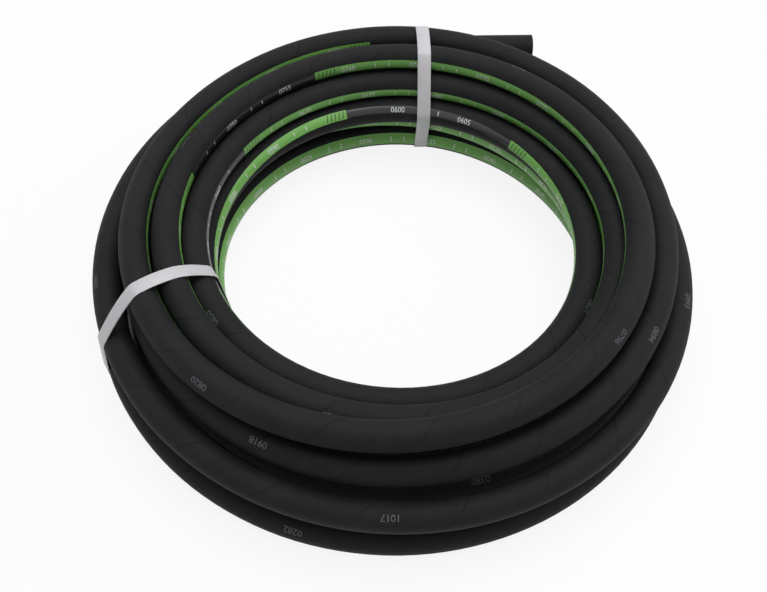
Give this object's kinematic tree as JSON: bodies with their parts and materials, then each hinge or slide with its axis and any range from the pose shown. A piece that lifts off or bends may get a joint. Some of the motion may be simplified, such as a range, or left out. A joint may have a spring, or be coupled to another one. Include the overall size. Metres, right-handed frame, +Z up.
{
  "type": "hydraulic hose",
  "caption": "Coil of two-wire compact hydraulic hose with plain square-cut ends, held by plastic straps; layered rubber and wire-braid wall, open bore at the free end.",
  "frame": {"origin": "middle of the coil's box, free end included, at the floor it lies on", "axes": "+Z up, square to the coil; +Y towards the far side with one strap; +X the way the free outer end points"},
  "size_m": [0.3741, 0.39, 0.0838],
  "materials": {
    "tube_rubber": "smooth black oil-resistant rubber",
    "inner_wire": "brass-coated steel wire braid",
    "interply_rubber": "thin black rubber",
    "outer_wire": "brass-coated steel wire braid",
    "cover_rubber": "matt black rubber with a fine cloth grain and a green line",
    "strap_plastic": "white polypropylene band"
  },
  "bodies": {
    "root": {"inner_tube_coil": "tube_rubber", "inner_tube_free_end": "tube_rubber", "inner_braid_coil": "inner_wire", "inner_braid_free_end": "inner_wire", "interply_coil": "interply_rubber", "interply_free_end": "interply_rubber", "outer_braid_coil": "outer_wire", "outer_braid_free_end": "outer_wire", "cover_coil": "cover_rubber", "cover_free_end": "cover_rubber", "far_strap": "strap_plastic", "left_strap": "strap_plastic"}
  },
  "joints": []
}
